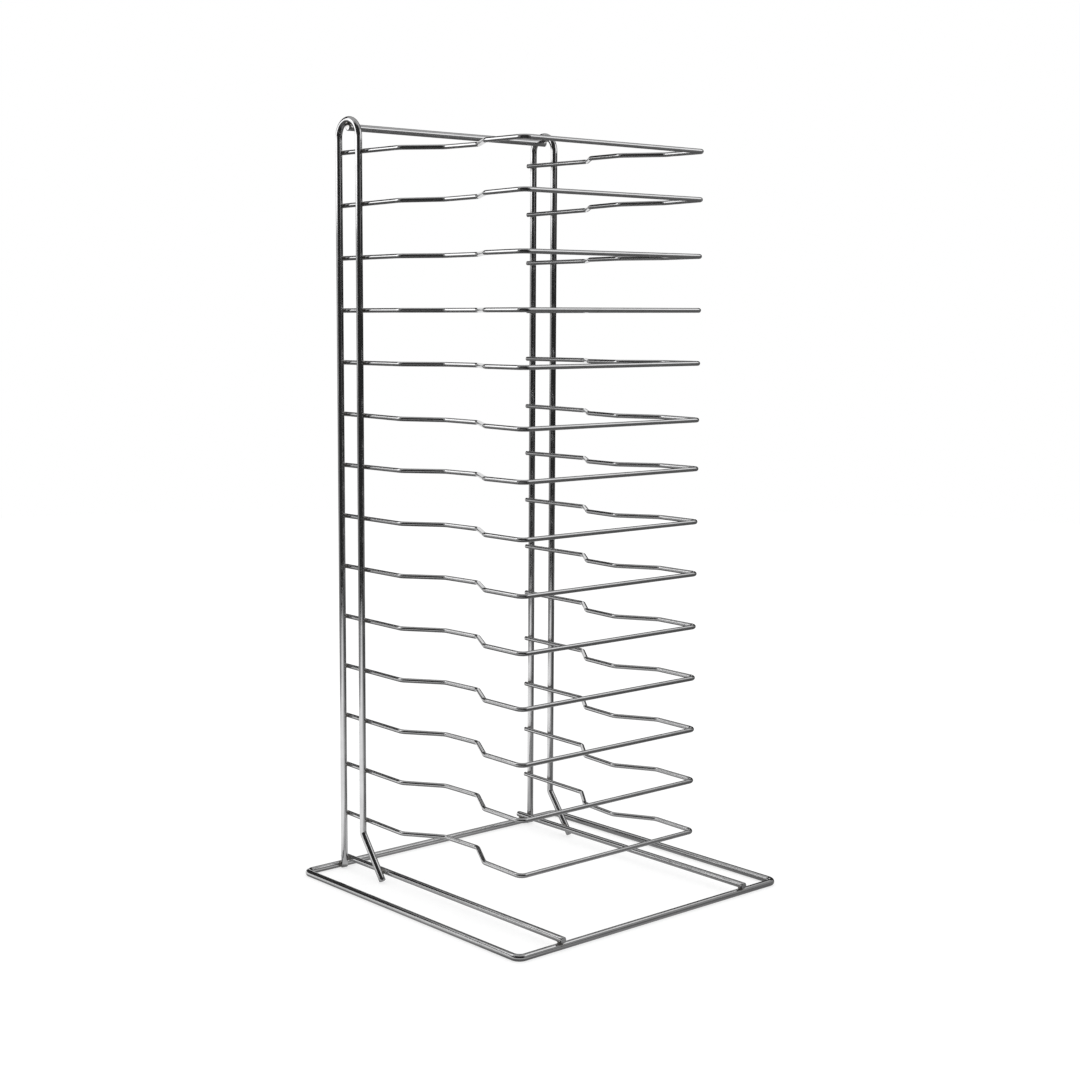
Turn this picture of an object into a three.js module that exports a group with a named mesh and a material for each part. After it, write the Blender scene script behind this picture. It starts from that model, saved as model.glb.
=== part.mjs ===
// Countertop wire rack for round pans: fourteen U-shaped shelf wires welded to two
// hairpin uprights, which stand at the back of a square wire base.
// Millimetres, +Z up. The open front faces -Y and +X is to the right.
// The origin is on the surface that the rack stands on, under the middle of its outline.

import * as THREE from 'three';

// ---- driving dimensions -------------------------------------------------------------

const FRAME_WIRE = 6.0; // diameter of the base, the uprights and the crossbar
const RUNNER_WIRE = 5.5;
const SHELF_WIRE = 4.0;
const WELD_GAP = 0.3; // wires that are welded together keep this gap between them

const BASE_WIDTH = 304.8; // over the outsides of the wire
const BASE_DEPTH = 297.0;
const BASE_BEND = 6.5; // radii of bends are to the middle of the wire

const SHELF_PITCH = 45.1; // between the shelves' back ends
const BOTTOM_SHELF_HEIGHT = 51.0;
// The shelves are welded by hand, so none is quite level. From the top shelf down, this is
// how far each front bar stands above its own back ends, or below them where it is negative.
const FRONT_BAR_LIFTS = [0, 5, 2.5, 2, 2, -1.5, 1.5, 0.5, 0, -1.5, -2, -3, -4, -5];

const SHELF_SETBACK = 53.5; // from the middle of the front rail to the front bars
const SHELF_FRONT_WIDTH = 201.8; // between the middles of a shelf's two arms
const SHELF_BEND = 6.0; // front corners
const NOTCH_BEND = 9.0; // the four bends of each arm's inward notch
const NOTCH_DEPTH = 21.0;
const NOTCH_START = 46.5; // distances behind the front bar
const NOTCH_FLOOR_START = 80.5;
const NOTCH_FLOOR_END = 121.0;
const NOTCH_END = 151.5;
const ARM_OVERHANG = 2.0; // how far an arm runs past the middle of the back leg

const LEG_SPACING = 29.0; // between the two legs of one hairpin
const LEG_X = 111.8;
const UPRIGHT_HEIGHT = 667.0;
const BACK_LEG_CLEARANCE = 2.0; // from the cut end down to the surface
const FOOT_BEND_HEIGHT = 39.5;
const FOOT_REACH = 28.5; // how far the foot slants forward from the front leg
const FOOT_BEND = 7.0;
const FOOT_END_HEIGHT = 2.2; // middle of the cut end, whose lower edge clears the surface

const RUNNER_OVERHANG = 4.3; // past the middles of the front and back rails
const CROSSBAR_LENGTH = 226.0;

const SECTION_SIDES = 8;
const BEND_STEP = Math.PI / 10; // a bend is drawn in turns of about this angle

// ---- worked out from them -----------------------------------------------------------

const FRAME_RADIUS = FRAME_WIRE / 2;
const RUNNER_RADIUS = RUNNER_WIRE / 2;
const SHELF_RADIUS = SHELF_WIRE / 2;

const RAIL_X = BASE_WIDTH / 2 - FRAME_RADIUS;
const RAIL_Y = BASE_DEPTH / 2 - FRAME_RADIUS;
const BACK_LEG_Y = RAIL_Y - FRAME_WIRE - WELD_GAP;
const FRONT_LEG_Y = BACK_LEG_Y - LEG_SPACING;
const HAIRPIN_Y = (BACK_LEG_Y + FRONT_LEG_Y) / 2;
const HAIRPIN_TOP = UPRIGHT_HEIGHT - FRAME_RADIUS;
const CROSSBAR_Z = HAIRPIN_TOP - FRAME_WIRE - WELD_GAP;
const RUNNER_X = LEG_X - FRAME_RADIUS - WELD_GAP - RUNNER_RADIUS;
const RUNNER_Z = FRAME_WIRE + WELD_GAP + RUNNER_RADIUS;
const ARM_BACK_X = LEG_X - FRAME_RADIUS - WELD_GAP - SHELF_RADIUS;
const ARM_FRONT_X = SHELF_FRONT_WIDTH / 2;
const FRONT_BAR_Y = SHELF_SETBACK - RAIL_Y;
const ARM_LENGTH = BACK_LEG_Y - FRONT_BAR_Y; // from the front bar to the back leg

// ---- chrome-plated wire ---------------------------------------------------------------

function chrome(shade) {
  return new THREE.MeshStandardMaterial({ color: shade, roughness: 0.12, metalness: 1.0 });
}

// The middle line of a wire bent at each inner corner to the given radius.
function bentLine(corners, bendRadii, closed = false) {
  const points = [];
  corners.forEach((corner, i) => {
    const isEnd = !closed && (i === 0 || i === corners.length - 1);
    if (isEnd) {
      points.push(corner.clone());
      return;
    }
    const before = corners[(i + corners.length - 1) % corners.length];
    const after = corners[(i + 1) % corners.length];
    points.push(...bendPoints(before, corner, after, bendRadii[i]));
  });
  return points;
}

function bendPoints(before, corner, after, radius) {
  const arriving = corner.clone().sub(before).normalize();
  const leaving = after.clone().sub(corner).normalize();
  const turn = arriving.angleTo(leaving);
  const setback = radius * Math.tan(turn / 2);
  const start = corner.clone().addScaledVector(arriving, -setback);
  const inward = leaving.clone().addScaledVector(arriving, -leaving.dot(arriving)).normalize();
  const steps = Math.max(2, Math.round(turn / BEND_STEP));
  return Array.from({ length: steps + 1 }, (_, k) => {
    const angle = (turn * k) / steps;
    return start.clone()
      .addScaledVector(arriving, radius * Math.sin(angle))
      .addScaledVector(inward, radius * (1 - Math.cos(angle)));
  });
}

// Sweeps a regular section along a line that lies in the plane with the given normal.
// The section is measured across its flats, and one flat faces along the normal.
function wireGeometry(line, planeNormal, wireRadius, closed = false) {
  const cornerRadius = wireRadius / Math.cos(Math.PI / SECTION_SIDES);
  const count = line.length;
  const positions = [];
  line.forEach((point, i) => {
    const hasBefore = closed || i > 0;
    const hasAfter = closed || i < count - 1;
    const before = hasBefore ? line[(i + count - 1) % count] : point;
    const after = hasAfter ? line[(i + 1) % count] : point;
    const arriving = point.clone().sub(before).normalize();
    const leaving = after.clone().sub(point).normalize();
    const heading = arriving.clone().add(leaving).normalize();
    const mitre = hasBefore && hasAfter ? 1 / Math.cos(arriving.angleTo(leaving) / 2) : 1;
    const sideways = new THREE.Vector3().crossVectors(heading, planeNormal);
    for (let k = 0; k < SECTION_SIDES; k += 1) {
      const angle = ((k + 0.5) * 2 * Math.PI) / SECTION_SIDES;
      const corner = point.clone()
        .addScaledVector(sideways, cornerRadius * Math.cos(angle) * mitre)
        .addScaledVector(planeNormal, cornerRadius * Math.sin(angle));
      positions.push(...corner.toArray());
    }
  });
  const geometry = new THREE.BufferGeometry();
  geometry.setAttribute('position', new THREE.Float32BufferAttribute(positions, 3));
  geometry.setIndex(sweptFaces(count, closed));
  geometry.computeVertexNormals();
  return geometry;
}

function sweptFaces(ringCount, closed) {
  const faces = [];
  const lastRing = closed ? ringCount : ringCount - 1;
  for (let ring = 0; ring < lastRing; ring += 1) {
    const here = ring * SECTION_SIDES;
    const next = ((ring + 1) % ringCount) * SECTION_SIDES;
    for (let k = 0; k < SECTION_SIDES; k += 1) {
      const beside = (k + 1) % SECTION_SIDES;
      faces.push(here + k, next + k, next + beside);
      faces.push(here + k, next + beside, here + beside);
    }
  }
  if (!closed) {
    const end = (ringCount - 1) * SECTION_SIDES;
    for (let k = 1; k < SECTION_SIDES - 1; k += 1) {
      faces.push(0, k, k + 1);
      faces.push(end, end + k + 1, end + k);
    }
  }
  return faces;
}

const UP = new THREE.Vector3(0, 0, 1);
const RIGHTWARD = new THREE.Vector3(1, 0, 0);
const rack = new THREE.Group();

function addWire(name, geometry, shade) {
  const mesh = new THREE.Mesh(geometry, chrome(shade));
  mesh.name = name;
  rack.add(mesh);
  return mesh;
}

function sideName(side) {
  return side < 0 ? 'left' : 'right';
}

// ---- the rack's pieces ------------------------------------------------------------------

function addBaseRing() {
  const corners = [
    new THREE.Vector3(-RAIL_X, -RAIL_Y, 0),
    new THREE.Vector3(RAIL_X, -RAIL_Y, 0),
    new THREE.Vector3(RAIL_X, RAIL_Y, 0),
    new THREE.Vector3(-RAIL_X, RAIL_Y, 0),
  ];
  const line = bentLine(corners, corners.map(() => BASE_BEND), true);
  const ring = addWire('base_ring', wireGeometry(line, UP, FRAME_RADIUS, true), 0xc9cbcd);
  ring.position.z = FRAME_RADIUS;
}

// A straight wire on top of the front and back rails, inside the uprights' feet.
function addRunner(side) {
  const line = [
    new THREE.Vector3(0, -RAIL_Y - RUNNER_OVERHANG, 0),
    new THREE.Vector3(0, RAIL_Y + RUNNER_OVERHANG, 0),
  ];
  const geometry = wireGeometry(line, UP, RUNNER_RADIUS);
  const runner = addWire(`${sideName(side)}_runner`, geometry, 0xc6c8ca);
  runner.position.set(side * RUNNER_X, 0, RUNNER_Z);
}

// A hairpin: the back leg drops straight onto the back rail's inner side. The front leg
// stops short of the base, turns forward and slants down beside the runner.
function addUpright(side) {
  const corners = [
    new THREE.Vector3(0, BACK_LEG_Y, BACK_LEG_CLEARANCE),
    new THREE.Vector3(0, BACK_LEG_Y, HAIRPIN_TOP),
    new THREE.Vector3(0, FRONT_LEG_Y, HAIRPIN_TOP),
    new THREE.Vector3(0, FRONT_LEG_Y, FOOT_BEND_HEIGHT),
    new THREE.Vector3(0, FRONT_LEG_Y - FOOT_REACH, FOOT_END_HEIGHT),
  ];
  const topBend = LEG_SPACING / 2;
  const line = bentLine(corners, [0, topBend, topBend, FOOT_BEND, 0]);
  const joined = line.filter((point, i) => i === 0 || point.distanceTo(line[i - 1]) > 0.01);
  const geometry = wireGeometry(joined, RIGHTWARD, FRAME_RADIUS);
  const upright = addWire(`${sideName(side)}_upright`, geometry, 0xb9bbbe);
  upright.position.x = side * LEG_X;
}

function addCrossbar() {
  const line = [
    new THREE.Vector3(-CROSSBAR_LENGTH / 2, 0, 0),
    new THREE.Vector3(CROSSBAR_LENGTH / 2, 0, 0),
  ];
  const bar = addWire('top_crossbar', wireGeometry(line, UP, FRAME_RADIUS), 0xc6c8ca);
  bar.position.set(0, HAIRPIN_Y, CROSSBAR_Z);
}

// One arm of a shelf on the +X side, from the front corner back to its cut end. Y is
// measured from the back leg, where the shelf is welded.
function armCorners() {
  const notchBackX = ARM_BACK_X - NOTCH_DEPTH;
  const notchFrontX = ARM_FRONT_X - NOTCH_DEPTH;
  return [
    new THREE.Vector3(ARM_FRONT_X, -ARM_LENGTH, 0),
    new THREE.Vector3(ARM_FRONT_X, -ARM_LENGTH + NOTCH_START, 0),
    new THREE.Vector3(notchFrontX, -ARM_LENGTH + NOTCH_FLOOR_START, 0),
    new THREE.Vector3((notchFrontX + notchBackX) / 2, -ARM_LENGTH + NOTCH_FLOOR_END, 0),
    new THREE.Vector3(ARM_BACK_X, -ARM_LENGTH + NOTCH_END, 0),
    new THREE.Vector3(ARM_BACK_X, ARM_OVERHANG, 0),
  ];
}

function addShelf(lift, index) {
  const rightArm = armCorners();
  const leftArm = rightArm.map((corner) => corner.clone().setX(-corner.x)).reverse();
  const bends = [SHELF_BEND, NOTCH_BEND, NOTCH_BEND, NOTCH_BEND, NOTCH_BEND, 0];
  const line = bentLine([...leftArm, ...rightArm], [...bends.toReversed(), ...bends]);
  const name = `shelf_${String(index + 1).padStart(2, '0')}`;
  const shelf = addWire(name, wireGeometry(line, UP, SHELF_RADIUS), 0xcfd1d3);
  const shelvesBelow = FRONT_BAR_LIFTS.length - 1 - index;
  shelf.position.set(0, BACK_LEG_Y, BOTTOM_SHELF_HEIGHT + SHELF_PITCH * shelvesBelow);
  shelf.rotation.x = -Math.asin(lift / ARM_LENGTH);
}

addBaseRing();
[-1, 1].forEach(addRunner);
[-1, 1].forEach(addUpright);
addCrossbar();
FRONT_BAR_LIFTS.forEach(addShelf);

export default rack;
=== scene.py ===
"""A countertop rack for round pans: bent, chrome-plated wires welded to each other.

Each wire is drawn round, in the place that its CAD solid has in the frame, and welds fill the
gaps between the wires. Lengths are in metres, +Z is up and the rack's open front faces -Y."""
import math
import random

import bpy
from mathutils import Matrix, Vector


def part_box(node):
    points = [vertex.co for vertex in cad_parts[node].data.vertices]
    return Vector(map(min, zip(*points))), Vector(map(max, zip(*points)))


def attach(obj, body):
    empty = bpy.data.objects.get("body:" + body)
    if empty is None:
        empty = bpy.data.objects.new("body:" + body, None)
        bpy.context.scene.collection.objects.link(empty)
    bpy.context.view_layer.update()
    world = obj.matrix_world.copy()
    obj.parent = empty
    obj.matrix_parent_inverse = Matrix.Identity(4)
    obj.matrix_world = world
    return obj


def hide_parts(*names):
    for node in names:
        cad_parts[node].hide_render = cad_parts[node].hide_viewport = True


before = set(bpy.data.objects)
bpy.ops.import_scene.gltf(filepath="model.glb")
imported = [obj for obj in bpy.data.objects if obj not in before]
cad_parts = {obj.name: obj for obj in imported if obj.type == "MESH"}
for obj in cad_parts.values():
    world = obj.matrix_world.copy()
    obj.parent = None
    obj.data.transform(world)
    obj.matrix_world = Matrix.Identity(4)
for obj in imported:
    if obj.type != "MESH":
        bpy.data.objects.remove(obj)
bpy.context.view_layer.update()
random.seed(14)

MM = 0.001
FULL_TURN = 2 * math.pi
UP = Vector((0, 0, 1))
ALONG_X = Vector((1, 0, 0))
ALONG_Y = Vector((0, 1, 0))
SIDES = (("left", -1), ("right", 1))

# ---- sizes that the frame's boxes don't give, as in the CAD model -------------------------

SHELF_COUNT = 14
BASE_BEND = 6.5 * MM
SHELF_BEND = 6.0 * MM
NOTCH_BEND = 9.0 * MM
NOTCH_DEPTH = 21.0 * MM
NOTCH_START = 46.5 * MM
NOTCH_FLOOR_START = 80.5 * MM
NOTCH_FLOOR_END = 121.0 * MM
NOTCH_END = 151.5 * MM
SHELF_FRONT_WIDTH = 201.8 * MM
ARM_OVERHANG = 2.0 * MM
LEG_SPACING = 29.0 * MM
BACK_LEG_END = 2.0 * MM
FOOT_BEND_HEIGHT = 39.5 * MM
FOOT_END_HEIGHT = 2.2 * MM
FOOT_BEND = 7.0 * MM

# ---- the wires' places, from the frame ----------------------------------------------------

ring_low, ring_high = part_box("base_ring")
runner_low, runner_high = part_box("right_runner")
upright_low, upright_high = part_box("right_upright")
crossbar_low, crossbar_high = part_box("top_crossbar")
shelf_low, shelf_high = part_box("shelf_01")

FRAME_RADIUS = (ring_high.z - ring_low.z) / 2
RUNNER_RADIUS = (runner_high.z - runner_low.z) / 2
SHELF_RADIUS = (shelf_high.z - shelf_low.z) / 2
RAIL_X = ring_high.x - FRAME_RADIUS
RAIL_Y = ring_high.y - FRAME_RADIUS
RAIL_Z = FRAME_RADIUS
RUNNER_X = (runner_low.x + runner_high.x) / 2
RUNNER_Z = (runner_low.z + runner_high.z) / 2
LEG_X = (upright_low.x + upright_high.x) / 2
BACK_LEG_Y = upright_high.y - FRAME_RADIUS
FRONT_LEG_Y = BACK_LEG_Y - LEG_SPACING
HAIRPIN_Y = (BACK_LEG_Y + FRONT_LEG_Y) / 2
HAIRPIN_TOP = upright_high.z - FRAME_RADIUS
CROSSBAR_Z = (crossbar_low.z + crossbar_high.z) / 2
ARM_BACK_X = shelf_high.x - SHELF_RADIUS
ARM_FRONT_X = SHELF_FRONT_WIDTH / 2
ARM_LENGTH = BACK_LEG_Y - (shelf_low.y + SHELF_RADIUS)

FOOT_SLOPE = math.atan2(FOOT_BEND_HEIGHT - FOOT_END_HEIGHT, FRONT_LEG_Y - upright_low.y)
foot_bend = Vector((0, FRONT_LEG_Y, FOOT_BEND_HEIGHT))
foot_end = Vector((0, upright_low.y + FRAME_RADIUS * math.sin(FOOT_SLOPE), FOOT_END_HEIGHT))
foot_along = (foot_end - foot_bend).normalized()

# ---- how finely the wires are drawn -------------------------------------------------------

FRAME_SIDES = 32
SHELF_SIDES = 24
RING_SPACING = 3.0 * MM
BEND_STEP = math.radians(5)
FEWEST_BEND_STEPS = 3
SAME_POINT = 0.01 * MM  # points nearer to each other than this are one
WELD_REACH = 7.0 * MM  # how far a weld dulls the plating around it

# A cut end's bevel and its almost flat face, as shares of the radius and of the bevel's depth.
END_BEVEL = 0.35 * MM
END_PROFILE = ((0.94, 0.55), (0.86, 0.85), (0.6, 1.0), (0.25, 0.92))

# ---- the middle line of a wire -------------------------------------------------------------


def bend_points(before, corner, after, radius):
    """The middle line through one bend, from where it starts to where it ends."""
    arriving = (corner - before).normalized()
    leaving = (after - corner).normalized()
    turn = arriving.angle(leaving)
    start = corner - arriving * radius * math.tan(turn / 2)
    inward = (leaving - arriving * leaving.dot(arriving)).normalized()
    steps = max(FEWEST_BEND_STEPS, round(turn / BEND_STEP))
    points = []
    for k in range(steps + 1):
        angle = turn * k / steps
        along = arriving * radius * math.sin(angle)
        across = inward * radius * (1 - math.cos(angle))
        points.append(start + along + across)
    return points


def bent_line(corners, radii, closed=False):
    """The middle line of a wire bent at each corner to the given radius."""
    count = len(corners)
    points = []
    for i, corner in enumerate(corners):
        if not closed and i in (0, count - 1):
            points.append(corner.copy())
            continue
        points += bend_points(corners[i - 1], corner, corners[(i + 1) % count], radii[i])
    return [p for i, p in enumerate(points) if i == 0 or (p - points[i - 1]).length > SAME_POINT]


def spaced(line, closed):
    """Adds points along the straight stretches, so that no step is long."""
    result = []
    last = len(line) if closed else len(line) - 1
    for i in range(last):
        start, end = line[i], line[(i + 1) % len(line)]
        steps = max(1, math.ceil((end - start).length / RING_SPACING))
        result += [start.lerp(end, k / steps) for k in range(steps)]
    if not closed:
        result.append(line[-1].copy())
    return result


# ---- a wire's mesh -------------------------------------------------------------------------


def ring_frames(line, normal, closed):
    """Each point of the line, the two directions that its ring is drawn in, and its heading."""
    frames = []
    count = len(line)
    for i, point in enumerate(line):
        before = line[i - 1] if closed or i > 0 else point
        after = line[(i + 1) % count] if closed or i < count - 1 else point
        heading = (after - before).normalized()
        frames.append((point, heading.cross(normal).normalized(), normal, heading))
    return frames


def end_rings(point, sideways, up, outward, radius):
    """The shrinking rings that close a cut end, from the wire's side to its face."""
    return [
        (point + outward * END_BEVEL * (depth - 1), sideways, up, radius * share)
        for share, depth in END_PROFILE
    ]


def wire_rings(line, normal, radius, closed):
    """The wire's rings in order: centre, the two directions it is drawn in, and radius."""
    frames = ring_frames(spaced(line, closed), normal, closed)
    rings = [(point, sideways, up, radius) for point, sideways, up, _ in frames]
    if closed:
        return rings
    start, start_sideways, start_up, start_heading = frames[0]
    end, end_sideways, end_up, end_heading = frames[-1]
    rings[0] = (start + start_heading * END_BEVEL, start_sideways, start_up, radius)
    rings[-1] = (end - end_heading * END_BEVEL, end_sideways, end_up, radius)
    before = end_rings(start, start_sideways, start_up, -start_heading, radius)
    after = end_rings(end, end_sideways, end_up, end_heading, radius)
    return before[::-1] + rings + after


def ring_points(rings, sides):
    """The corners of each ring in turn."""
    points = []
    for centre, sideways, up, radius in rings:
        for k in range(sides):
            angle = FULL_TURN * k / sides
            across = sideways * radius * math.cos(angle)
            points.append(centre + across + up * radius * math.sin(angle))
    return points


def ring_faces(ring_count, sides, closed):
    """Quads from each ring to the next, and one face over each end of an open wire."""
    faces = []
    spans = ring_count if closed else ring_count - 1
    for ring in range(spans):
        here = ring * sides
        there = (ring + 1) % ring_count * sides
        for k in range(sides):
            beside = (k + 1) % sides
            faces.append((here + k, there + k, there + beside, here + beside))
    if not closed:
        final = (ring_count - 1) * sides
        faces.append(tuple(range(sides)))
        faces.append(tuple(reversed(range(final, final + sides))))
    return faces


def add_wire_uvs(mesh, rings, sides, closed):
    """UVs: once round the section in U, and the distance along the wire in metres in V."""
    travelled = [0.0]
    for before, after in zip(rings, rings[1:]):
        travelled.append(travelled[-1] + (after[0] - before[0]).length)
    layer = mesh.uv_layers.new(name="wire")
    quad_count = (len(rings) if closed else len(rings) - 1) * sides
    for index, polygon in enumerate(mesh.polygons):
        ring, k = divmod(index, sides)
        if index >= quad_count:
            for loop in polygon.loop_indices:
                layer.data[loop].uv = (0.0, 0.0)
            continue
        start = travelled[ring]
        end = travelled[ring + 1] if ring + 1 < len(rings) else start + RING_SPACING
        corners = [(k, start), (k, end), (k + 1, end), (k + 1, start)]
        for loop, (around, along) in zip(polygon.loop_indices, corners):
            layer.data[loop].uv = (around / sides, along)


def add_weld_attribute(mesh, weld_points):
    """An attribute that the plating reads: 1 at a weld, falling to 0 away from it."""
    attribute = mesh.attributes.new("weld", "FLOAT", "POINT")
    values = []
    for vertex in mesh.vertices:
        nearest = min((vertex.co - point).length for point in weld_points)
        values.append(max(0.0, 1 - nearest / WELD_REACH))
    attribute.data.foreach_set("value", values)


def add_piece(name, mesh, material, replaced=()):
    """A piece of the rack, which rides with its only body and stands for its CAD wire."""
    piece = bpy.data.objects.new(f"{name}_fine", mesh)
    bpy.context.scene.collection.objects.link(piece)
    mesh.materials.append(material)
    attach(piece, "root")
    if replaced:
        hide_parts(*replaced)


class Gauge:
    """A kind of wire: its radius, how many sides it is drawn with, its plating, and the
    record's material slot for it, which this script doesn't use."""

    def __init__(self, radius, sides, plating, slot):
        self.radius = radius
        self.sides = sides
        self.plating = plating
        self.slot = slot


def wire_piece(name, line, normal, gauge, weld_points, closed=False):
    """A round wire swept along a line that lies in the plane with the given normal."""
    rings = wire_rings(line, normal, gauge.radius, closed)
    points = [tuple(point) for point in ring_points(rings, gauge.sides)]
    mesh = bpy.data.meshes.new(name)
    mesh.from_pydata(points, [], ring_faces(len(rings), gauge.sides, closed))
    add_wire_uvs(mesh, rings, gauge.sides, closed)
    add_weld_attribute(mesh, weld_points)
    mesh.shade_smooth()
    add_piece(name, mesh, gauge.plating, [name])


# ---- welds ---------------------------------------------------------------------------------

WELD_TURNS = 40  # profiles round a weld's axis
WELD_STEPS = 8  # steps along each profile, from one wire to the other
WELD_SPREAD = (1.12, 1.28)  # least and most, as shares of the thinner wire's radius
WELD_NECK = (0.74, 0.84)  # the same, for the narrow part between the wires
FARTHEST_ACROSS = 0.88  # how far a weld may reach across a wire, as a share of its radius
WIDEST_NECK = 0.92  # as a share of the weld's spread in the same direction
NECK_ROUNDNESS = 0.8  # an exponent: below 1, the neck is longer and its ends are tighter
SLOW_RIPPLE = (0.05, 2)  # how much the outline swells, and how many times in one turn
QUICK_RIPPLE = (0.035, 5)
WELD_SINK = 0.12 * MM  # how deep the weld's edges are sunk into the wires
LOWEST_WELD = 0.1 * MM  # so that a weld by the floor stays above it
PARALLEL = 1e-3  # below this share, a direction counts as running along the wire


class Weld:
    """Where two wires cross and touch: a point on each wire's middle line, its direction
    and its radius."""

    def __init__(self, first, first_along, first_radius, second, second_along, second_radius):
        self.centres = (first, second)
        self.alongs = (first_along.normalized(), second_along.normalized())
        self.radii = (first_radius, second_radius)
        self.axis = (second - first).normalized()
        gap = (second - first).length - first_radius - second_radius
        self.point = first + self.axis * (first_radius + gap / 2)

    def share_across(self, which, direction):
        """How much a direction runs across that wire: 0 along it, 1 straight across."""
        across = self.alongs[which].cross(self.axis).normalized()
        return abs(direction.dot(across))

    def reach(self, which, direction, wanted):
        """The weld spreads less where the wire's surface curves away."""
        share = self.share_across(which, direction)
        limit = self.radii[which] * FARTHEST_ACROSS / max(share, PARALLEL)
        return min(wanted, limit)

    def surface_height(self, which, direction, reach):
        """How far that wire's surface is from the weld's middle, along the weld's axis."""
        radius = self.radii[which]
        offset = self.share_across(which, direction) * reach
        falling_away = radius - math.sqrt(radius ** 2 - offset ** 2)
        nearest = (self.point - self.centres[which]).length - radius
        return nearest + falling_away


def weld_profile(weld, direction, spread, neck):
    """The weld's outline in one direction, from the first wire's surface to the second's."""
    first_reach = weld.reach(0, direction, spread)
    second_reach = weld.reach(1, direction, spread)
    low = -weld.surface_height(0, direction, first_reach)
    high = weld.surface_height(1, direction, second_reach)
    waist = min(neck, first_reach * WIDEST_NECK, second_reach * WIDEST_NECK)
    points = []
    for step in range(WELD_STEPS + 1):
        share = step / WELD_STEPS
        bow = math.sin(math.pi * share) ** NECK_ROUNDNESS
        straight = first_reach * (1 - share) + second_reach * share
        outward = straight * (1 - bow) + waist * bow
        height = low * (1 - share) + high * share
        sink = WELD_SINK * (1 - bow)
        height += -sink if share < 0.5 else sink
        point = weld.point + direction * outward + weld.axis * height
        point.z = max(point.z, LOWEST_WELD)
        points.append(point)
    return points


def weld_outline(weld):
    """The points of one weld: its profile, turn by turn round its axis."""
    thinner = min(weld.radii)
    spread = thinner * random.uniform(*WELD_SPREAD)
    neck = thinner * random.uniform(*WELD_NECK)
    slow_start = random.uniform(0, FULL_TURN)
    quick_start = random.uniform(0, FULL_TURN)
    slow_swell, slow_count = SLOW_RIPPLE
    quick_swell, quick_count = QUICK_RIPPLE
    along = weld.alongs[0]
    first_way = (along - weld.axis * along.dot(weld.axis)).normalized()
    second_way = weld.axis.cross(first_way)
    points = []
    for turn in range(WELD_TURNS):
        angle = FULL_TURN * turn / WELD_TURNS
        direction = first_way * math.cos(angle) + second_way * math.sin(angle)
        slow = slow_swell * math.sin(slow_count * angle + slow_start)
        quick = quick_swell * math.sin(quick_count * angle + quick_start)
        ripple = 1 + slow + quick
        points += weld_profile(weld, direction, spread * ripple, neck * ripple)
    return points


def weld_faces(base):
    """The faces of one weld, whose points start at the given number."""
    profile = WELD_STEPS + 1
    faces = []
    for turn in range(WELD_TURNS):
        here = base + turn * profile
        there = base + (turn + 1) % WELD_TURNS * profile
        for step in range(WELD_STEPS):
            faces.append((here + step, there + step, there + step + 1, here + step + 1))
    faces.append(tuple(base + turn * profile for turn in reversed(range(WELD_TURNS))))
    faces.append(tuple(base + WELD_STEPS + turn * profile for turn in range(WELD_TURNS)))
    return faces


def weld_piece(name, welds):
    """Flowed metal round each contact: it hugs both wires and narrows between them."""
    points, faces = [], []
    for weld in welds:
        faces += weld_faces(len(points))
        points += weld_outline(weld)
    mesh = bpy.data.meshes.new(name)
    mesh.from_pydata([tuple(point) for point in points], [], faces)
    mesh.shade_smooth()
    add_piece(name, mesh, weld_metal)


# ---- node trees ----------------------------------------------------------------------------


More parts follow.
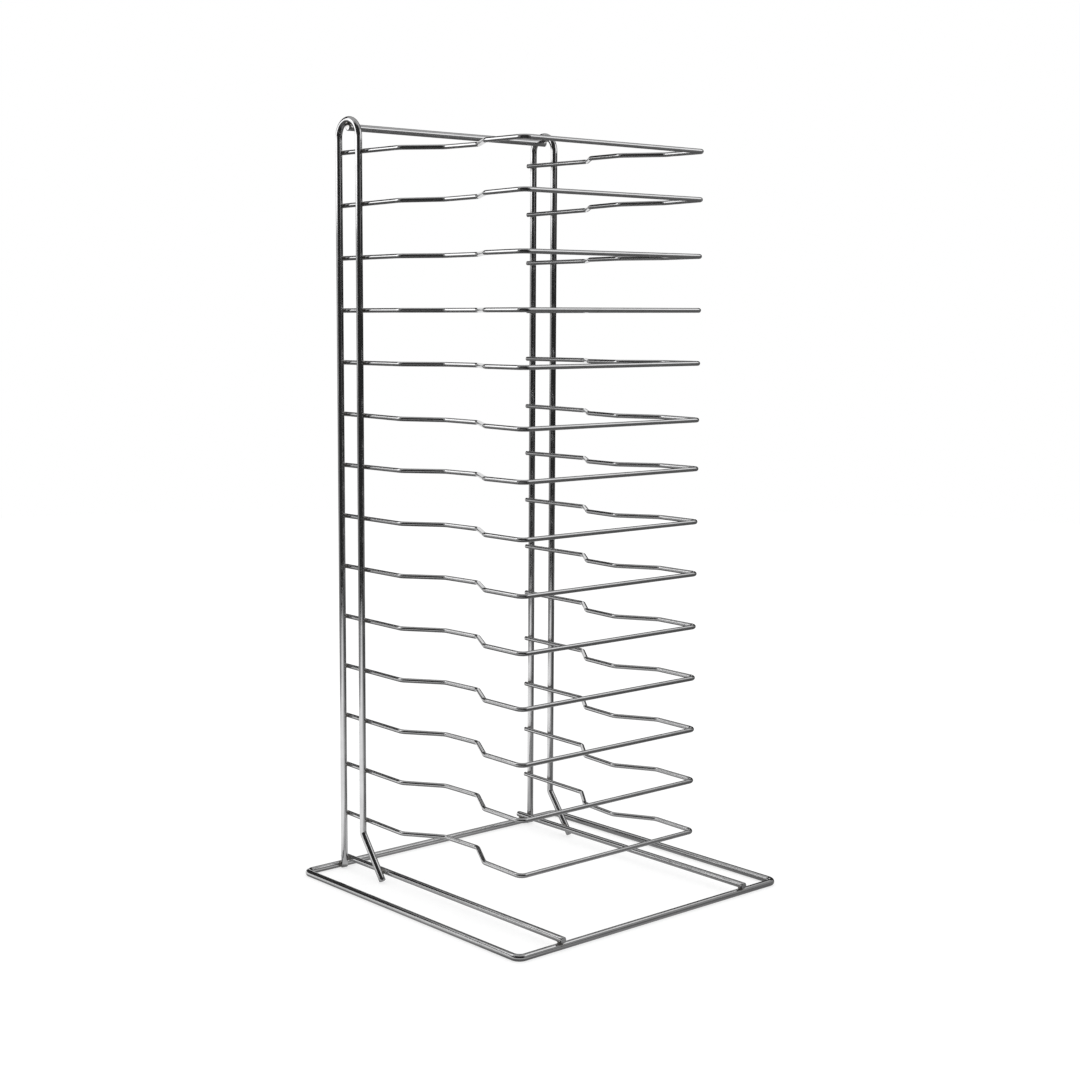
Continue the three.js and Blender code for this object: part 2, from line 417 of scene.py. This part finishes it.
class Shading:
    """A node tree, with one short call for each kind of node. Each call makes a node and
    returns its output."""

    def __init__(self, tree):
        self.nodes = tree.nodes
        self.links = tree.links

    def give(self, socket, value):
        """Sets a socket to a plain value, or links another node's output to it."""
        if isinstance(value, (int, float, tuple)):
            socket.default_value = value
        else:
            self.links.new(value, socket)

    def place(self, kind):
        return self.nodes.new("ShaderNodeTexCoord").outputs[kind]

    def noise(self, place, scale, detail, roughness=0.55):
        node = self.nodes.new("ShaderNodeTexNoise")
        node.inputs["Scale"].default_value = scale
        node.inputs["Detail"].default_value = detail
        node.inputs["Roughness"].default_value = roughness
        self.links.new(place, node.inputs["Vector"])
        return node.outputs["Fac"]

    def stretched(self, place, scale):
        node = self.nodes.new("ShaderNodeMapping")
        node.inputs["Scale"].default_value = scale
        self.links.new(place, node.inputs["Vector"])
        return node.outputs["Vector"]

    def remap(self, value, old, new):
        """Turns one range of values evenly into another, and stops at its ends."""
        node = self.nodes.new("ShaderNodeMapRange")
        node.inputs["From Min"].default_value, node.inputs["From Max"].default_value = old
        node.inputs["To Min"].default_value, node.inputs["To Max"].default_value = new
        self.links.new(value, node.inputs["Value"])
        return node.outputs["Result"]

    def smooth_edge(self, value, outside, inside):
        """0 up to the first value and 1 from the second, with a soft edge between."""
        node = self.nodes.new("ShaderNodeMapRange")
        node.interpolation_type = "SMOOTHSTEP"
        node.inputs["From Min"].default_value = outside
        node.inputs["From Max"].default_value = inside
        self.links.new(value, node.inputs["Value"])
        return node.outputs["Result"]

    def work_out(self, operation, *values):
        node = self.nodes.new("ShaderNodeMath")
        node.operation = operation
        for socket, value in zip(node.inputs, values):
            self.give(socket, value)
        return node.outputs["Value"]

    def work_out_vector(self, operation, *vectors):
        node = self.nodes.new("ShaderNodeVectorMath")
        node.operation = operation
        for socket, vector in zip(node.inputs, vectors):
            self.give(socket, vector)
        return node.outputs["Value"]

    def mix(self, share, first, second):
        node = self.nodes.new("ShaderNodeMix")
        node.data_type = "FLOAT"
        self.give(node.inputs["Factor"], share)
        self.give(node.inputs["A"], first)
        self.give(node.inputs["B"], second)
        return node.outputs["Result"]

    def mix_colours(self, share, first, second):
        node = self.nodes.new("ShaderNodeMix")
        node.data_type = "RGBA"
        self.give(node.inputs["Factor"], share)
        self.give(node.inputs["A"], first)
        self.give(node.inputs["B"], second)
        return node.outputs["Result"]

    def bumped(self, height, strength, distance, normal=None):
        node = self.nodes.new("ShaderNodeBump")
        node.inputs["Strength"].default_value = strength
        node.inputs["Distance"].default_value = distance
        self.links.new(height, node.inputs["Height"])
        if normal is not None:
            self.links.new(normal, node.inputs["Normal"])
        return node.outputs["Normal"]


# ---- materials -----------------------------------------------------------------------------

BRIGHT_GREY = (0.70, 0.70, 0.705, 1.0)
DULL_GREY = (0.61, 0.61, 0.615, 1.0)
UPRIGHT_BRIGHT_GREY = (0.69, 0.69, 0.695, 1.0)
UPRIGHT_DULL_GREY = (0.60, 0.60, 0.605, 1.0)
WARM_GREY = (0.33, 0.31, 0.285, 1.0)
WELD_GREY = (0.42, 0.41, 0.39, 1.0)
WELD_BROWN = (0.20, 0.185, 0.17, 1.0)


def new_material(name):
    """A material with its node tree and its main shader."""
    material = bpy.data.materials.new(name)
    material.use_nodes = True
    shading = Shading(material.node_tree)
    return material, shading, shading.nodes["Principled BSDF"]


def chrome_wire(name, bright, dull, polish):
    """Plated drawn wire: fine lines along it, a slow waviness, faint clouding, small pits,
    and duller, slightly warm metal round the welds. The polish is its lowest roughness."""
    material, shading, shader = new_material(name)
    place = shading.place("Object")
    uv_node = shading.nodes.new("ShaderNodeUVMap")
    uv_node.uv_map = "wire"
    along_wire = uv_node.outputs["UV"]
    weld_node = shading.nodes.new("ShaderNodeAttribute")
    weld_node.attribute_name = "weld"
    weld = weld_node.outputs["Fac"]

    lines = shading.noise(shading.stretched(along_wire, (90.0, 9.0, 1.0)), scale=1.0, detail=3.0)
    waves = shading.noise(shading.stretched(along_wire, (1.5, 26.0, 1.0)), scale=1.0, detail=1.0)
    clouds = shading.noise(place, scale=55.0, detail=5.0, roughness=0.6)
    pits = shading.noise(place, scale=900.0, detail=2.0, roughness=0.5)

    shade = shading.mix_colours(shading.remap(clouds, (0.35, 0.7), (0.0, 1.0)), bright, dull)
    cloudy_weld = shading.work_out("MULTIPLY", weld, clouds)
    warmth = shading.remap(cloudy_weld, (0.12, 0.55), (0.0, 0.75))
    colour = shading.mix_colours(warmth, shade, WARM_GREY)
    shading.links.new(colour, shader.inputs["Base Color"])

    cloudy = shading.remap(clouds, (0.3, 0.75), (polish, polish + 0.09))
    dulled = shading.work_out("MULTIPLY", weld, 0.22)
    rough = shading.work_out("ADD", cloudy, dulled)
    shading.links.new(rough, shader.inputs["Roughness"])

    spots = shading.remap(pits, (0.3, 0.42), (0.0, 1.0))
    drawn = shading.bumped(lines, strength=0.05, distance=0.1 * MM)
    wavy = shading.bumped(waves, strength=0.12, distance=0.8 * MM, normal=drawn)
    pitted = shading.bumped(spots, strength=0.03, distance=0.1 * MM, normal=wavy)
    shading.links.new(pitted, shader.inputs["Normal"])

    shader.inputs["Metallic"].default_value = 1.0
    return material


def flowed_metal():
    """The welds' metal under the plating: lumpy, duller and a little heat-tinted."""
    material, shading, shader = new_material("weld_metal")
    place = shading.place("Object")
    clouds = shading.noise(place, scale=260.0, detail=4.0, roughness=0.6)
    lumps = shading.noise(place, scale=700.0, detail=3.0)
    tint = shading.remap(clouds, (0.35, 0.7), (0.0, 1.0))
    colour = shading.mix_colours(tint, WELD_GREY, WELD_BROWN)
    rough = shading.remap(clouds, (0.3, 0.7), (0.24, 0.42))
    lumpy = shading.bumped(lumps, strength=0.5, distance=0.3 * MM)
    shading.links.new(colour, shader.inputs["Base Color"])
    shading.links.new(rough, shader.inputs["Roughness"])
    shading.links.new(lumpy, shader.inputs["Normal"])
    shader.inputs["Metallic"].default_value = 1.0
    return material


frame_chrome = chrome_wire("frame_chrome", BRIGHT_GREY, DULL_GREY, polish=0.05)
upright_chrome = chrome_wire(
    "upright_chrome", UPRIGHT_BRIGHT_GREY, UPRIGHT_DULL_GREY, polish=0.045
)
shelf_chrome = chrome_wire("shelf_chrome", BRIGHT_GREY, DULL_GREY, polish=0.055)
weld_metal = flowed_metal()

FRAME_WIRE = Gauge(FRAME_RADIUS, FRAME_SIDES, frame_chrome, "frame_chrome")
RUNNER_WIRE = Gauge(RUNNER_RADIUS, FRAME_SIDES, frame_chrome, "frame_chrome")
UPRIGHT_WIRE = Gauge(FRAME_RADIUS, FRAME_SIDES, upright_chrome, "upright_chrome")
SHELF_WIRE = Gauge(SHELF_RADIUS, SHELF_SIDES, shelf_chrome, "shelf_chrome")

# ---- where the wires touch -----------------------------------------------------------------

LEG_WELD_LIFT = 0.4 * MM  # the back leg's weld is that far above the rail's middle


def base_welds():
    """Back legs on the back rail, runners on the rails, and legs and feet on the runners."""
    welds = []
    for _, side in SIDES:
        leg = Vector((side * LEG_X, BACK_LEG_Y, RAIL_Z + LEG_WELD_LIFT))
        rail_beside_leg = Vector((side * LEG_X, RAIL_Y, RAIL_Z + LEG_WELD_LIFT))
        welds.append(Weld(leg, UP, FRAME_RADIUS, rail_beside_leg, ALONG_X, FRAME_RADIUS))
        for end in (-1, 1):
            rail = Vector((side * RUNNER_X, end * RAIL_Y, RAIL_Z))
            runner = Vector((side * RUNNER_X, end * RAIL_Y, RUNNER_Z))
            welds.append(Weld(rail, ALONG_X, FRAME_RADIUS, runner, ALONG_Y, RUNNER_RADIUS))
        runner = Vector((side * RUNNER_X, BACK_LEG_Y, RUNNER_Z))
        leg = Vector((side * LEG_X, BACK_LEG_Y, RUNNER_Z))
        welds.append(Weld(runner, ALONG_Y, RUNNER_RADIUS, leg, UP, FRAME_RADIUS))
        share = (RUNNER_Z - foot_bend.z) / (foot_end.z - foot_bend.z)
        foot_y = foot_bend.y + (foot_end.y - foot_bend.y) * share
        runner = Vector((side * RUNNER_X, foot_y, RUNNER_Z))
        foot = Vector((side * LEG_X, foot_y, RUNNER_Z))
        welds.append(Weld(runner, ALONG_Y, RUNNER_RADIUS, foot, foot_along, FRAME_RADIUS))
    return welds


def crossbar_welds():
    """The crossbar under the two hairpin bends."""
    welds = []
    for _, side in SIDES:
        bar = Vector((side * LEG_X, HAIRPIN_Y, CROSSBAR_Z))
        hairpin = Vector((side * LEG_X, HAIRPIN_Y, HAIRPIN_TOP))
        welds.append(Weld(bar, ALONG_X, FRAME_RADIUS, hairpin, ALONG_Y, FRAME_RADIUS))
    return welds


def shelf_welds(placement):
    """Each arm on the inner sides of both legs of its hairpin."""
    welds = []
    for _, side in SIDES:
        for leg_y in (BACK_LEG_Y, FRONT_LEG_Y):
            arm = placement @ Vector((side * ARM_BACK_X, leg_y - BACK_LEG_Y, 0))
            leg = Vector((side * LEG_X, arm.y, arm.z))
            welds.append(Weld(arm, ALONG_Y, SHELF_RADIUS, leg, UP, FRAME_RADIUS))
    return welds


# ---- the pieces ----------------------------------------------------------------------------


def make_base_ring(weld_points):
    corners = [
        Vector((-RAIL_X, -RAIL_Y, RAIL_Z)),
        Vector((RAIL_X, -RAIL_Y, RAIL_Z)),
        Vector((RAIL_X, RAIL_Y, RAIL_Z)),
        Vector((-RAIL_X, RAIL_Y, RAIL_Z)),
    ]
    line = bent_line(corners, [BASE_BEND] * len(corners), closed=True)
    wire_piece("base_ring", line, UP, FRAME_WIRE, weld_points, closed=True)


def make_runner(side_name, side, weld_points):
    line = [
        Vector((side * RUNNER_X, runner_low.y, RUNNER_Z)),
        Vector((side * RUNNER_X, runner_high.y, RUNNER_Z)),
    ]
    wire_piece(f"{side_name}_runner", line, UP, RUNNER_WIRE, weld_points)


def make_upright(side_name, side, weld_points):
    """A hairpin, whose front leg stops short of the base and slants forward and down."""
    shift = Vector((side * LEG_X, 0, 0))
    corners = [
        Vector((0, BACK_LEG_Y, BACK_LEG_END)) + shift,
        Vector((0, BACK_LEG_Y, HAIRPIN_TOP)) + shift,
        Vector((0, FRONT_LEG_Y, HAIRPIN_TOP)) + shift,
        foot_bend + shift,
        foot_end + shift,
    ]
    top_bend = LEG_SPACING / 2
    line = bent_line(corners, [0, top_bend, top_bend, FOOT_BEND, 0])
    wire_piece(f"{side_name}_upright", line, ALONG_X, UPRIGHT_WIRE, weld_points)


def make_crossbar(weld_points):
    line = [
        Vector((crossbar_low.x, HAIRPIN_Y, CROSSBAR_Z)),
        Vector((crossbar_high.x, HAIRPIN_Y, CROSSBAR_Z)),
    ]
    wire_piece("top_crossbar", line, UP, FRAME_WIRE, weld_points)


def middle(values):
    return (min(values) + max(values)) / 2


def shelf_heights(name):
    """The middle heights of a shelf's front bar and of its back ends, from its CAD wire."""
    points = [vertex.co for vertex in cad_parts[name].data.vertices]
    front = min(p.y for p in points)
    back = max(p.y for p in points)
    near = 2 * SHELF_RADIUS + 0.1 * MM  # just over one wire's thickness
    front_heights = [p.z for p in points if p.y < front + near]
    back_heights = [p.z for p in points if p.y > back - near]
    return middle(front_heights), middle(back_heights)


def shelf_placement(name):
    """Turns and moves a shelf drawn level, with its back leg at y 0, to its place."""
    front, back = shelf_heights(name)
    tilt = math.asin((front - back) / (ARM_LENGTH + ARM_OVERHANG))
    height = back + math.sin(tilt) * ARM_OVERHANG
    return Matrix.Translation((0, BACK_LEG_Y, height)) @ Matrix.Rotation(-tilt, 4, "X")


def right_arm_corners():
    """The right arm of a level shelf, from the front corner to its cut end."""
    front = -ARM_LENGTH
    notch_front_x = ARM_FRONT_X - NOTCH_DEPTH
    notch_back_x = (notch_front_x + ARM_BACK_X - NOTCH_DEPTH) / 2
    return [
        Vector((ARM_FRONT_X, front, 0)),
        Vector((ARM_FRONT_X, front + NOTCH_START, 0)),
        Vector((notch_front_x, front + NOTCH_FLOOR_START, 0)),
        Vector((notch_back_x, front + NOTCH_FLOOR_END, 0)),
        Vector((ARM_BACK_X, front + NOTCH_END, 0)),
        Vector((ARM_BACK_X, ARM_OVERHANG, 0)),
    ]


def make_shelf(name, placement, weld_points):
    right = right_arm_corners()
    left = [Vector((-p.x, p.y, p.z)) for p in reversed(right)]
    bends = [SHELF_BEND, NOTCH_BEND, NOTCH_BEND, NOTCH_BEND, NOTCH_BEND, 0]
    level_line = bent_line(left + right, bends[::-1] + bends)
    line = [placement @ point for point in level_line]
    wire_piece(name, line, placement.to_3x3() @ UP, SHELF_WIRE, weld_points)


def make_rack():
    on_base = base_welds()
    on_crossbar = crossbar_welds()
    everywhere = [weld.point for weld in on_base + on_crossbar]
    for number in range(1, SHELF_COUNT + 1):
        name = f"shelf_{number:02d}"
        placement = shelf_placement(name)
        on_shelf = shelf_welds(placement)
        weld_points = [weld.point for weld in on_shelf]
        everywhere += weld_points
        make_shelf(name, placement, weld_points)
        weld_piece(f"{name}_welds", on_shelf)
    make_base_ring(everywhere)
    make_crossbar(everywhere)
    for side_name, side in SIDES:
        beside = [point for point in everywhere if point.x * side > 0]
        make_runner(side_name, side, beside)
        make_upright(side_name, side, beside)
    weld_piece("base_welds", on_base)
    weld_piece("crossbar_welds", on_crossbar)


make_rack()

# ---- where the viewer stands ---------------------------------------------------------------

VIEW_AZIMUTH = math.radians(-41.55)
VIEW_ELEVATION = math.radians(7.30)
VIEW_ROLL = math.radians(0.33)
VIEW_AIM = Vector((-0.0004, 0.0003, 0.3051))
VIEW_DISTANCE = 1.594
SENSOR_WIDTH = 36.0  # with the lens, in millimetres
LENS = 61.1
TOWARD_VIEWER = Vector((
    math.sin(VIEW_AZIMUTH) * math.cos(VIEW_ELEVATION),
    -math.cos(VIEW_AZIMUTH) * math.cos(VIEW_ELEVATION),
    math.sin(VIEW_ELEVATION),
))

# ---- the studio that the plating mirrors ---------------------------------------------------

# Directions are in degrees from the viewer's, anticlockwise as seen from above.
STUDIO_FRONT = math.degrees(math.atan2(TOWARD_VIEWER.y, TOWARD_VIEWER.x))
LEFT = -90
FRONT = 0
STUDIO_DARK = 0.025

# A panel is far away: (direction, half width, lowest, highest, brightness), with its heights
# in degrees above the horizon.
PANEL_FADE = 6.0  # degrees over which its sides and top fade. Its bottom fades over half.
ZENITH = 90
PANELS = {
    "window strip on the left": (-98, 46, 3, 8, 1.6),
    "wall on the left": (-108, 40, -12, 16, 0.30),
    "screen behind on the left": (-170, 11, -12, 17, 0.85),
    "wall on the right": (95, 38, 6, 52, 0.28),
    "low wall on the right": (122, 44, -90, -6, 0.22),
    "stripe on the right": (50, 9, 2, 10, 0.4),
    "canopy": (180, 122, 41, ZENITH, 0.5),
    "ceiling": (0, 180, 60, ZENITH, 0.35),
}

# A light card is near: (direction, distance, nearest and farthest sideways, lowest, highest,
# brightness), in metres. Sideways is clockwise from its direction, as seen from above.
LIGHT_CARDS = {
    "left_softbox": (-97, 0.8, -0.22, 0.14, 0.60, 1.15, 1.8),
    "left_reflector": (-97, 1.5, -0.25, 0.0, 0.36, 0.68, 1.05),
    "right_softbox": (90, 0.8, -0.4, 0.35, 0.73, 1.25, 1.15),
}

FLOOR_RADIUS = 3.0
FLOOR_GREY = (0.4, 0.4, 0.4, 1.0)
FLOOR_GLOW = 0.68
TABLE_RADIUS = 1.42
DISC_CORNERS = 96
WHITE = (1, 1, 1, 1)


def studio_way(direction):
    """One metre along the floor in a direction of the studio."""
    angle = math.radians(STUDIO_FRONT + direction)
    return Vector((math.cos(angle), math.sin(angle), 0))


def make_disc(name, radius, material):
    bpy.ops.mesh.primitive_circle_add(vertices=DISC_CORNERS, radius=radius, fill_type="NGON")
    disc = bpy.context.object
    disc.name = name
    disc.data.materials.append(material)
    return disc


def make_floor():
    """White to the eye, and not mirrored: the plating mirrors the glowing tabletop card instead,
    with its painted light and painted reflection.
    """
    material, _, shader = new_material("pale_floor")
    shader.inputs["Base Color"].default_value = FLOOR_GREY
    shader.inputs["Roughness"].default_value = 0.9
    shader.inputs["Specular IOR Level"].default_value = 0.0
    shader.inputs["Emission Color"].default_value = WHITE
    shader.inputs["Emission Strength"].default_value = FLOOR_GLOW
    floor = make_disc("floor", FLOOR_RADIUS, material)
    floor.visible_glossy = False


def glowing(name):
    """A material that only glows, with its node tree and its brightness socket."""
    material = bpy.data.materials.new(name)
    material.use_nodes = True
    shading = Shading(material.node_tree)
    shading.nodes.clear()
    glow = shading.nodes.new("ShaderNodeEmission")
    output = shading.nodes.new("ShaderNodeOutputMaterial")
    shading.links.new(glow.outputs["Emission"], output.inputs["Surface"])
    return material, shading, glow.inputs["Strength"]


def only_mirrored(card):
    """Hides a studio card from everything but the plating."""
    card.visible_camera = False
    card.visible_diffuse = False
    card.visible_shadow = False


def painted_tabletop_from_above(shading, distance, front_share):
    """Painted light and shade where the plating sees the tabletop from above: dim, darker toward
    the viewer, and a painted pool of light close to the rack.
    """
    # painted shade: darker toward the viewer
    dim = shading.remap(front_share, (0.2, 0.75), (0.12, 0.02))
    # a painted pool of light on the card close to the rack
    close = shading.remap(distance, (0.12, 0.265), (0.34, 0.02))
    return shading.work_out("MAXIMUM", dim, close)


def painted_tabletop_at_low_angle(shading, distance, leftward, left_share):
    """A painted glossy reflection: it is bright on its left, and dim past its edges and in a
    painted shadow of the base.
    """
    # painted reflection of the light from the left
    bright = shading.remap(left_share, (-0.6, 0.55), (0.28, 1.04))
    left_edge = shading.remap(leftward, (0.78, 0.88), (1.0, 0.28))
    right_edge = shading.remap(leftward, (-0.55, -0.25), (0.3, 1.0))
    table = shading.work_out("MINIMUM", left_edge, right_edge)
    painted_reflection = shading.work_out("MULTIPLY", bright, table)
    # painted shadow of the base: the card is dimmer close to it
    painted_base_shade = shading.remap(distance, (0.20, 0.26), (0.55, 1.0))
    return shading.work_out("MULTIPLY", painted_reflection, painted_base_shade)


def make_mirrored_tabletop():
    """What the plating mirrors in the floor's place: a glowing card painted with the light,
    shade and reflection of a lit tabletop.
    """
    material, shading, brightness = glowing("painted_floor_reflection")
    place = shading.place("Object")
    distance = shading.work_out_vector("LENGTH", place)
    leftward = shading.work_out_vector("DOT_PRODUCT", place, tuple(studio_way(LEFT)))
    forward = shading.work_out_vector("DOT_PRODUCT", place, tuple(studio_way(FRONT)))
    left_share = shading.work_out("DIVIDE", leftward, distance)
    front_share = shading.work_out("DIVIDE", forward, distance)
    painted_light_from_above = painted_tabletop_from_above(shading, distance, front_share)
    painted_reflection = painted_tabletop_at_low_angle(shading, distance, leftward, left_share)
    # the painted reflection shows at grazing angles, the painted light from above at steep ones
    slant = shading.nodes.new("ShaderNodeLayerWeight").outputs["Facing"]
    grazing_share = shading.smooth_edge(slant, 0.45, 0.73)
    shading.links.new(shading.mix(grazing_share, painted_light_from_above, painted_reflection), brightness)
    only_mirrored(make_disc("painted_floor_reflection", TABLE_RADIUS, material))


def make_light_card(name, direction, distance, nearest, farthest, lowest, highest, level):
    toward = studio_way(direction)
    away = toward * distance
    clockwise = Vector((toward.y, -toward.x, 0))
    outline = ((nearest, lowest), (farthest, lowest), (farthest, highest), (nearest, highest))
    corners = [away + clockwise * sideways + UP * height for sideways, height in outline]
    mesh = bpy.data.meshes.new(name)
    mesh.from_pydata([tuple(corner) for corner in corners], [], [(0, 1, 2, 3)])
    material, _, brightness = glowing(name)
    brightness.default_value = level
    mesh.materials.append(material)
    card = bpy.data.objects.new(name, mesh)
    bpy.context.scene.collection.objects.link(card)
    only_mirrored(card)


def panel_light(shading, azimuth, height, panel):
    """How bright a panel is in the direction with that azimuth and height, in radians."""
    direction, half_width, lowest, highest, level = panel
    turned = shading.work_out("SUBTRACT", azimuth, math.radians(STUDIO_FRONT + direction))
    wrapped = shading.work_out("WRAP", turned, math.pi, -math.pi)
    away = shading.work_out("ABSOLUTE", wrapped)
    fade = PANEL_FADE / 2
    sides = (math.radians(half_width + fade), math.radians(half_width - fade))
    bottom = (math.radians(lowest - fade / 2), math.radians(lowest + fade / 2))
    top = (math.radians(highest + fade), math.radians(highest - fade))
    across = shading.smooth_edge(away, *sides)
    light = shading.work_out("MULTIPLY", across, shading.smooth_edge(height, *bottom))
    if highest < ZENITH:
        light = shading.work_out("MULTIPLY", light, shading.smooth_edge(height, *top))
    return shading.work_out("MULTIPLY", light, level)


def make_world():
    """White for the eye and for the floor. What the plating mirrors is a dark studio with a
    few soft panels."""
    world = bpy.data.worlds.new("studio")
    bpy.context.scene.world = world
    world.use_nodes = True
    shading = Shading(world.node_tree)
    parts = shading.nodes.new("ShaderNodeSeparateXYZ")
    shading.links.new(shading.place("Generated"), parts.inputs["Vector"])
    azimuth = shading.work_out("ARCTAN2", parts.outputs["Y"], parts.outputs["X"])
    height = shading.work_out("ARCSINE", parts.outputs["Z"])
    mirrored = STUDIO_DARK
    for panel in PANELS.values():
        light = panel_light(shading, azimuth, height, panel)
        mirrored = shading.work_out("MAXIMUM", light, mirrored)
    ray = shading.nodes.new("ShaderNodeLightPath")
    strength = shading.mix(ray.outputs["Is Glossy Ray"], 1.0, mirrored)
    background = shading.nodes["Background"]
    background.inputs["Color"].default_value = WHITE
    shading.links.new(strength, background.inputs["Strength"])


def make_camera():
    """Aimed at the rack's middle line, from the front left and a little above."""
    data = bpy.data.cameras.new("camera")
    data.sensor_width = SENSOR_WIDTH
    data.lens = LENS
    camera = bpy.data.objects.new("camera", data)
    camera.location = VIEW_AIM + TOWARD_VIEWER * VIEW_DISTANCE
    facing = (-TOWARD_VIEWER).to_track_quat("-Z", "Y").to_matrix().to_4x4()
    camera.rotation_euler = (facing @ Matrix.Rotation(VIEW_ROLL, 4, "Z")).to_euler()
    bpy.context.scene.collection.objects.link(camera)
    bpy.context.scene.camera = camera


make_floor()
make_mirrored_tabletop()
for card_name, placing in LIGHT_CARDS.items():
    make_light_card(card_name, *placing)
make_world()
make_camera()
bpy.context.scene.view_settings.view_transform = "Standard"
